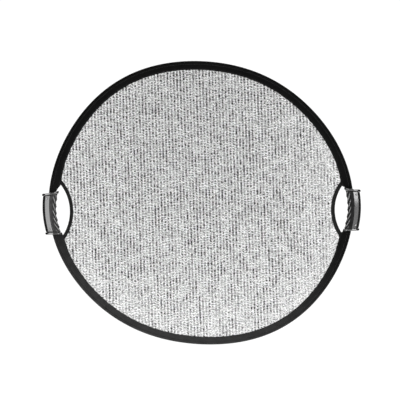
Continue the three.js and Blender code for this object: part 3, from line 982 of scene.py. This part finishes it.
def rib_height(x, s):
    """How far the rubber stands out, with finer ribs that cross the main ones."""
    shown, wave = rib_wave(x, s)
    crossing = np.cos(2 * np.pi * (2 * s / RIB_LENGTH + (x - INNERMOST) * 1.4 * RIB_SLANT))
    return shown * (RIB_HEIGHT * wave**1.3 - RIB_SUNK + CROSSING_HEIGHT * crossing)


def crest_wear_and_painted_light(line, inside_points):
    """How worn and painted the rubber is at each point: above 0 on its ribs' crests, where palm and fingers
    rub and a painted highlight lies, and below 0 in the hollows between them, where painted shade lies."""
    x = line[:, 0]
    wear_and_painted_light = []
    for s, _ in barrel_steps(RUBBER_RINGS):
        shown, wave = rib_wave(x, s)
        worn_and_lit_band = np.clip((x - WORN_AND_LIT_BAND[0]) / RIB_FADE, 0, 1) * np.clip((WORN_AND_LIT_BAND[1] - x) / RIB_FADE, 0, 1)
        rubbed_and_highlight = np.clip((wave - 0.8) / 0.15, 0, 1) * shown * worn_and_lit_band
        painted_hollow_shade = np.clip((0.55 - wave) / 0.3, 0, 1) * shown
        wear_and_painted_light.extend([*(rubbed_and_highlight - painted_hollow_shade), *np.zeros(inside_points)])
    return wear_and_painted_light


def waist(s):
    """How far the inner side swells towards the grip's ends, from its pinch at the middle."""
    return WAIST_SWELL * (s / BARREL_END) ** 2 - WAIST_PINCH


def barrel_steps(count):
    """Places along the barrel, and how much narrower the section is there."""
    along = np.linspace(-BARREL_END, BARREL_END, count)
    from_end = (BARREL_END - np.abs(along)) / END_ROUNDING["over"]
    return zip(along, END_ROUNDING["narrower"] * np.clip(1 - from_end, 0, 1) ** 0.6)


def build_shell(side, place, front):
    name = "front_shell" if front else "back_shell"
    outline = rounded(shell_section(front), 0.6 * MM, 3)
    rings = []
    for s, narrow in barrel_steps(SHELL_RINGS):
        ring = []
        for x, y in outline:
            lower = min(narrow, abs(y))
            ring.append(place.at(x - math.copysign(narrow, x), y - math.copysign(lower, y), s))
        rings.append(ring)
    shell = add_tube(f"{side}_{name}", rings, SHELL)
    for up in (1, -1):
        cut_away(shell, screw_hole(place, up, front))
    join_grip(shell, side, name, 30)


def build_rubber(side, place):
    line = fine_line(rubber_outside(), RUBBER_STEP)
    inside = rubber_inside()
    tangent = np.gradient(line, axis=0)
    normal = np.stack([tangent[:, 1], -tangent[:, 0]], -1)
    normal /= np.linalg.norm(normal, axis=1, keepdims=True)
    if normal[len(line) // 2, 0] > 0:
        normal = -normal
    rings = []
    for s, narrow in barrel_steps(RUBBER_RINGS):
        raised = line + normal * (rib_height(line[:, 0], s) - narrow / MM)[:, None]
        raised[:, 0] -= waist(s) * np.clip((WAIST_FROM - line[:, 0]) / WAIST_REACH, 0, 1)
        rings.append([place.at(x * MM, y * MM, s) for x, y in [*raised, *inside]])
    rubber = add_tube(f"{side}_rubber_grip", rings, GRIP)
    keep_wear_and_painted_light(rubber, crest_wear_and_painted_light(line, len(inside)))
    join_grip(rubber, side, "grip", 50)


COLLAR_TIP = -20.2
COLLAR_MOUTH = 164  # degrees from straight outward to the slot's edge, at each side
COLLAR_MIDDLE = -6 * MM
COLLAR_POINTS = 150
LIP_THICKNESS = 6.1
# The lip's edge: the height through its thickness, and how far it stands out, in millimetres.
LIP_EDGE = (
    *((0.0, 0.2), (0.2, 1.6), (0.6, 2.5), (1.3, 3.0)),
    *((4.4, 3.2), (5.3, 2.8), (5.9, 1.7), (LIP_THICKNESS, 0.2)),
)
FLARE_FROM = 10 * MM
FLARE = 20  # the collar's edge turns away by this times the square of the distance beyond
PAINTED_SHADE_FROM = 12.5 * MM  # the collar is painted black from here outward, as painted shade
PAINTED_SHADE_FADE = 3 * MM


def collar_outside():
    half = [EDGE_END, FACET_END, (SPLIT, RIDGE), (-9.7, 12.1), (-15.9, 7.8)]
    return [(OUTERMOST, 0), *half, (COLLAR_TIP, 0), *mirrored(half)]


def collar_hole():
    """Room for the rim, and towards the disc for its casing."""
    half = [(5.9, 5.4), (-6.0, 5.4), (-8.0, 3.4), (COLLAR_TIP, 3.4)]
    return half + mirrored(half)


def build_collar(side, place, top):
    """A soft lip round the grip's end, slotted on the disc's side, where the rim's casing runs out."""
    sign = 1 if top else -1
    start = GRIP_LENGTH / 2 - COLLAR_THICKNESS
    outer = round_about(collar_outside(), 1.6 * MM)
    inner = round_about(collar_hole(), 0.8 * MM)
    sections = []
    for point, hole in zip(outer, inner):
        edge = [(*grown(point, grow * MM), along) for along, grow in LIP_EDGE]
        edge += [(*hole, along) for along in (LIP_THICKNESS, 0.0)]
        section = []
        for x, y, along in edge:
            section.append(place.at(x, y, sign * (start + along * MM + flare(x, along))))
        sections.append(section)
    name = "top_collar" if top else "bottom_collar"
    collar = add_tube(f"{side}_{name}", sections, COLLAR)
    # painted shade at the collar's outer end
    painted_shade = [-np.clip((x - PAINTED_SHADE_FROM) / PAINTED_SHADE_FADE, 0, 1) for x, _ in outer]
    keep_wear_and_painted_light(collar, np.repeat(painted_shade, len(sections[0])))
    join_grip(collar, side, name, 40)


def flare(x, along):
    """How much further out the collar's inner tip is bent, at a height through its thickness."""
    return FLARE * max(0, -x - FLARE_FROM) ** 2 * along / (COLLAR_THICKNESS / MM)


def round_about(outline, radius):
    """A closed outline's points, in metres, from one edge of the collar's slot round to the other."""
    corners = rounded([(x * MM, y * MM) for x, y in outline], radius, 4)
    points = np.array([tuple(p) for p in corners])
    turn = np.degrees(np.arctan2(points[:, 1], points[:, 0] - COLLAR_MIDDLE))
    order = np.argsort(turn)
    turns = np.linspace(-COLLAR_MOUTH, COLLAR_MOUTH, COLLAR_POINTS)
    return np.stack([np.interp(turns, turn[order], points[order, k]) for k in (0, 1)], -1)


def grown(point, grow):
    """A point of the outline moved outward from the middle."""
    x, y = point
    length = math.hypot(x, y)
    return x * (1 + grow / length), y * (1 + grow / length)


# ---- screws and nuts ----

SCREW_X = 7.8 * MM
SCREW_FROM = 42 * MM
HEAD_SEAT = 8.4 * MM
HEAD_HEIGHT = 1.8 * MM
HEAD_RADIUS = 2.9 * MM
SHAFT_RADIUS = 1.5 * MM
SCREW_TIP = 8.6 * MM
SCREW_PITCH = 0.5 * MM
SCREW_THREAD_DEPTH = 0.22 * MM
CROSS_LONG, CROSS_SHORT = 1.7 * MM, 0.32 * MM
CROSS_DEPTH = 1.0 * MM
NUT_RADIUS = 3.0 * MM
NUT_NEAR, NUT_FAR = 5.6 * MM, 8.2 * MM
NUT_BEVEL = 0.3 * MM
NUT_BORE = 1.8 * MM
PAST_GRIP = 20 * MM


def grip_prism(name, place, up, sides, depths, finish):
    """A solid along Y at a screw's place, through a ring of each given depth and radius."""
    rings = []
    for y, radius in depths:
        ring = []
        for k in range(sides):
            turn = 2 * math.pi * k / sides
            x, s = SCREW_X + radius * math.cos(turn), up * SCREW_FROM + radius * math.sin(turn)
            ring.append(place.at(x, y, s))
        rings.append(ring)
    return add_tube(name, rings, finish)


def screw_hole(place, up, front):
    """The cutter for a screw's seat and shaft in the front shell, or a nut's pocket in the back."""
    if front:
        head, shaft, seat = HEAD_RADIUS + GAP, SHAFT_RADIUS + GAP, -HEAD_SEAT + GAP
        depths = ((-PAST_GRIP, head), (seat, head), (seat, shaft), (1 * MM, shaft))
        return grip_prism("cutter", place, up, 32, depths, SHELL)
    depths = ((-1 * MM, NUT_RADIUS + GAP), (PAST_GRIP, NUT_RADIUS + GAP))
    return grip_prism("cutter", place, up, 6, depths, SHELL)


def screw_profile():
    """A screw's depths and radii from the top of its domed head to its tip."""
    top = -HEAD_SEAT - HEAD_HEIGHT
    depths = [(top + 0.05 * MM, 1.4 * MM), (top + 0.12 * MM, 2.1 * MM), (top + 0.5 * MM, 2.65 * MM)]
    depths += [(top + 1.0 * MM, HEAD_RADIUS), (-HEAD_SEAT - 0.1 * MM, HEAD_RADIUS)]
    depths += [(-HEAD_SEAT, HEAD_RADIUS - 0.1 * MM), (-HEAD_SEAT, SHAFT_RADIUS)]
    y = -HEAD_SEAT + 1.0 * MM
    while y < SCREW_TIP - 0.8 * MM:
        depths += [(y, SHAFT_RADIUS), (y + SCREW_PITCH / 2, SHAFT_RADIUS - SCREW_THREAD_DEPTH)]
        y += SCREW_PITCH
    depths += [(SCREW_TIP - 0.5 * MM, SHAFT_RADIUS), (SCREW_TIP, SHAFT_RADIUS - 0.4 * MM)]
    return depths


def build_screw(side, place, up, number):
    screw = grip_prism(f"{side}_screw_{number}", place, up, 24, screw_profile(), ZINC)
    top = -HEAD_SEAT - HEAD_HEIGHT
    for wide, tall in ((CROSS_LONG, CROSS_SHORT), (CROSS_SHORT, CROSS_LONG)):
        corners = [(-wide, -tall), (wide, -tall), (wide, tall), (-wide, tall)]
        rings = []
        for depth in (top - CROSS_DEPTH, top + CROSS_DEPTH):
            rings.append([place.at(SCREW_X + a, depth, up * SCREW_FROM + b) for a, b in corners])
        cut_away(screw, add_tube("cutter", rings, ZINC))
    join_grip(screw, side, f"screw_{number}", 35)


def build_nut(side, place, up, number):
    bevelled = NUT_RADIUS - NUT_BEVEL
    outer = [(NUT_NEAR, bevelled), (NUT_NEAR + NUT_BEVEL, NUT_RADIUS)]
    outer += [(NUT_FAR - NUT_BEVEL, NUT_RADIUS), (NUT_FAR, bevelled)]
    nut = grip_prism(f"{side}_nut_{number}", place, up, 6, outer, ZINC)
    bore = [(0, NUT_BORE), (PAST_GRIP, NUT_BORE)]
    cut_away(nut, grip_prism("cutter", place, up, 24, bore, ZINC))
    join_grip(nut, side, f"nut_{number}", 25)


def build_grip(side):
    place = GripPlace(side)
    for front in (True, False):
        build_shell(side, place, front)
    build_rubber(side, place)
    for top in (True, False):
        build_collar(side, place, top)
    for number, up in enumerate((1, -1), 1):
        build_screw(side, place, up, number)
        build_nut(side, place, up, number)


# ---- stage, light and camera ----

VIEW_DISTANCE = 4.0
VIEW_WIDTH = 1.0908  # at the disc
VIEW_MIDDLE = (-0.0045, 0.0075)  # in X and Z
SENSOR = 36
FLOOR_DROP = 0.24  # the floor lies this far below the disc
FLOOR_REACH = 1.4
WORLD_SEEN = 1.05
WORLD_LIGHT = 0.55
SOFTBOX_DISTANCE = 2.2


def build_camera():
    """Square on to the silver side, from far off, as the disc is seen."""
    data = bpy.data.cameras.new("camera")
    data.sensor_width = SENSOR
    data.lens = SENSOR * VIEW_DISTANCE / VIEW_WIDTH
    camera = bpy.data.objects.new("camera", data)
    camera.location = (VIEW_MIDDLE[0], -VIEW_DISTANCE, VIEW_MIDDLE[1])
    camera.rotation_euler = (math.radians(90), 0, 0)
    bpy.context.scene.collection.objects.link(camera)
    bpy.context.scene.camera = camera


def build_floor():
    """A pale floor, below the disc."""
    n = Nodes("floor")
    n.finish(grey(0.85), 0.6, Emission_Color=grey(1.0), Emission_Strength=0.85)
    corners = []
    for x, y in ((-1, -1), (1, -1), (1, 1), (-1, 1)):
        corners.append((x * FLOOR_REACH, y * FLOOR_REACH, cad_box[0][2] - FLOOR_DROP))
    floor = add_mesh("floor", corners, [(0, 1, 2, 3)], n.owner, smooth=False)


def build_world():
    """White all round to the eye, and softly lit from front and above, dark to the sides and back."""
    n = Nodes("studio", "worlds")
    bpy.context.scene.world = n.owner
    n.tree.nodes.clear()
    x, y, _ = n.split(n.add("ShaderNodeTexCoord").outputs["Generated"])
    inward = n.span(n.math("ABSOLUTE", x), 0.55, 0.9, WORLD_LIGHT, 0.02, smooth=True)
    frontal = n.span(y, 0.0, 0.4, 1.0, 0.01, smooth=True)
    lit = n.fed("ShaderNodeBackground", {"Strength": n.times(inward, frontal)})[0]
    seen = n.fed("ShaderNodeBackground", {"Color": (1, 1, 1, 1), "Strength": WORLD_SEEN})[0]
    to_eye = n.add("ShaderNodeLightPath").outputs["Is Camera Ray"]
    mixed = n.fed("ShaderNodeMixShader", {0: to_eye, 1: lit, 2: seen})[0]
    n.fed("ShaderNodeOutputWorld", {0: mixed})


def add_softbox(name, azimuth, height, size, power):
    """A soft area light, facing the disc from an angle either side of square on."""
    data = bpy.data.lights.new(name, "AREA")
    data.shape = "RECTANGLE"
    data.size, data.size_y = size
    data.energy = power
    light = bpy.data.objects.new(name, data)
    turn = math.radians(azimuth)
    light.location = (SOFTBOX_DISTANCE * math.sin(turn), -SOFTBOX_DISTANCE * math.cos(turn), height)
    light.rotation_euler = (-light.location).to_track_quat("-Z", "Y").to_euler()
    bpy.context.scene.collection.objects.link(light)


def build_lights():
    add_softbox("left_softbox", -50, 0.05, (0.8, 2.0), 24)
    add_softbox("right_softbox", 50, 0.6, (0.7, 1.1), 22)
    add_softbox("low_fill", 50, -0.55, (0.7, 1.1), 4)
    add_softbox("back_left", -150, 1.7, (1.2, 1.2), 26)
    add_softbox("back_right", 150, 1.7, (1.2, 1.2), 26)
    bpy.context.scene.view_settings.view_transform = "Standard"


# ---- build ----

build_camera()
build_floor()
build_world()
build_lights()
add_cloth("silver_face", SILVER, -CLOTH_MIDDLE, 360, 180, ribs=True)
add_cloth("back_face", WHITE, CLOTH_MIDDLE, 220, 150, ribs=False)
sweep_rim("rim_casing", casing_section, CASING_SECTIONS, BLACK)
sweep_rim("spring_band", hoop_section, HOOP_SECTIONS, STEEL)
build_rim_stitches()
for grip_side in GRIPS:
    build_tape(grip_side)
    build_tape_stitches(grip_side)
    build_grip(grip_side)

for node, finish in (("splice_sleeve", STEEL), ("splice_rivet_1", ZINC), ("splice_rivet_2", ZINC)):
    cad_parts[node].data.materials.clear()
    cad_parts[node].data.materials.append(finish)
